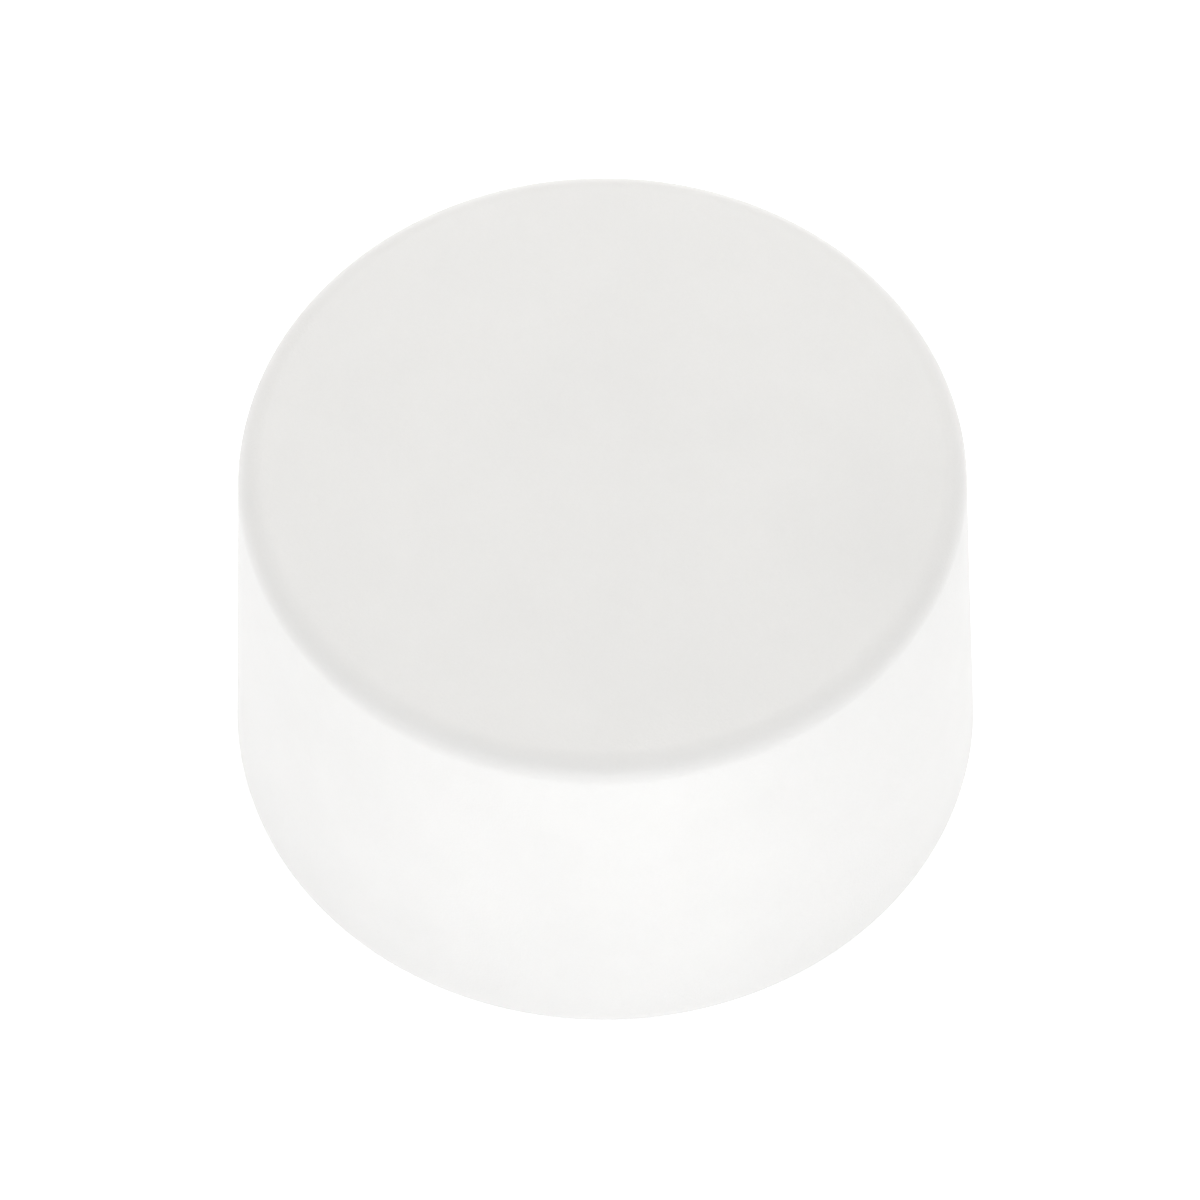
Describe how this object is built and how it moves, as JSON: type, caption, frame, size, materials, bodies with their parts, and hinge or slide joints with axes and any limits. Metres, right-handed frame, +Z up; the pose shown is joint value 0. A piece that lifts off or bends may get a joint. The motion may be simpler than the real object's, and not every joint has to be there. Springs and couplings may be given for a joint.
{
  "type": "dealer button",
  "caption": "Thick round weighted table marker with a blank flat face, a rounded rim, drafted side and a felt pad underneath, for showing whose turn it is to deal.",
  "frame": {"origin": "centre of the felt pad's underside, on the table", "axes": "+Z up through the blank face, along the puck's axis; +Y is the side of the first screw boss"},
  "size_m": [0.0518, 0.0518, 0.031],
  "materials": {
    "shell_plastic": "satin",
    "base_plastic": "matte",
    "zinc_plate": "satin",
    "foam": "matte",
    "screw_steel": "satin",
    "adhesive": "gloss",
    "felt": "matte"
  },
  "bodies": {
    "root": {"shell": "shell_plastic", "upper_damper": "foam", "weight_plate_1": "zinc_plate", "weight_plate_2": "zinc_plate", "weight_plate_3": "zinc_plate", "lower_damper": "foam", "base_plate": "base_plastic", "base_screws": "screw_steel", "pad_adhesive": "adhesive", "foot_pad": "felt"}
  },
  "joints": []
}
